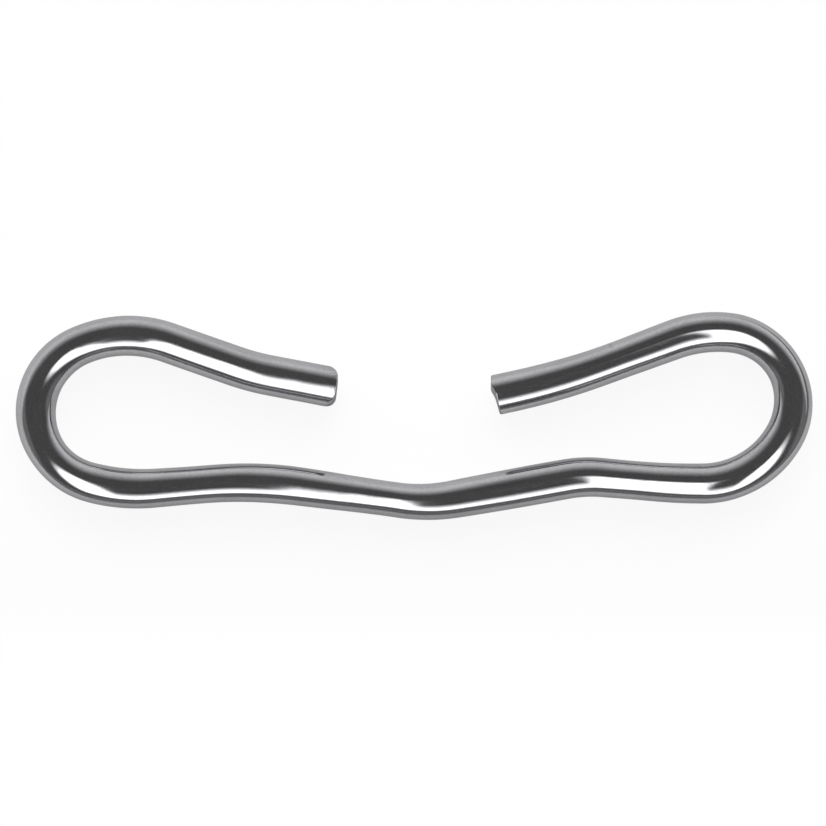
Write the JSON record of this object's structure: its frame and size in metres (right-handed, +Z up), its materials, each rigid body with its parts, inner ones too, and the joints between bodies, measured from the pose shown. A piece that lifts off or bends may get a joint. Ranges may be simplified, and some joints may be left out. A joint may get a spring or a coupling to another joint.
{
  "type": "bucket hook",
  "caption": "Bright plated steel rod bent flat into an open loop at each end, the arms facing across a mouth, on a gently waved back.",
  "frame": {"origin": "middle of the hook's outline, on the surface that it lies on", "axes": "+X along the hook towards its right loop, +Y from the waved back towards the arms and the mouth, +Z up, square to the plane of the bends"},
  "size_m": [0.1558, 0.0416, 0.008],
  "materials": {
    "plated_steel": "polished"
  },
  "bodies": {
    "root": {"hook_rod": "plated_steel"}
  },
  "joints": []
}
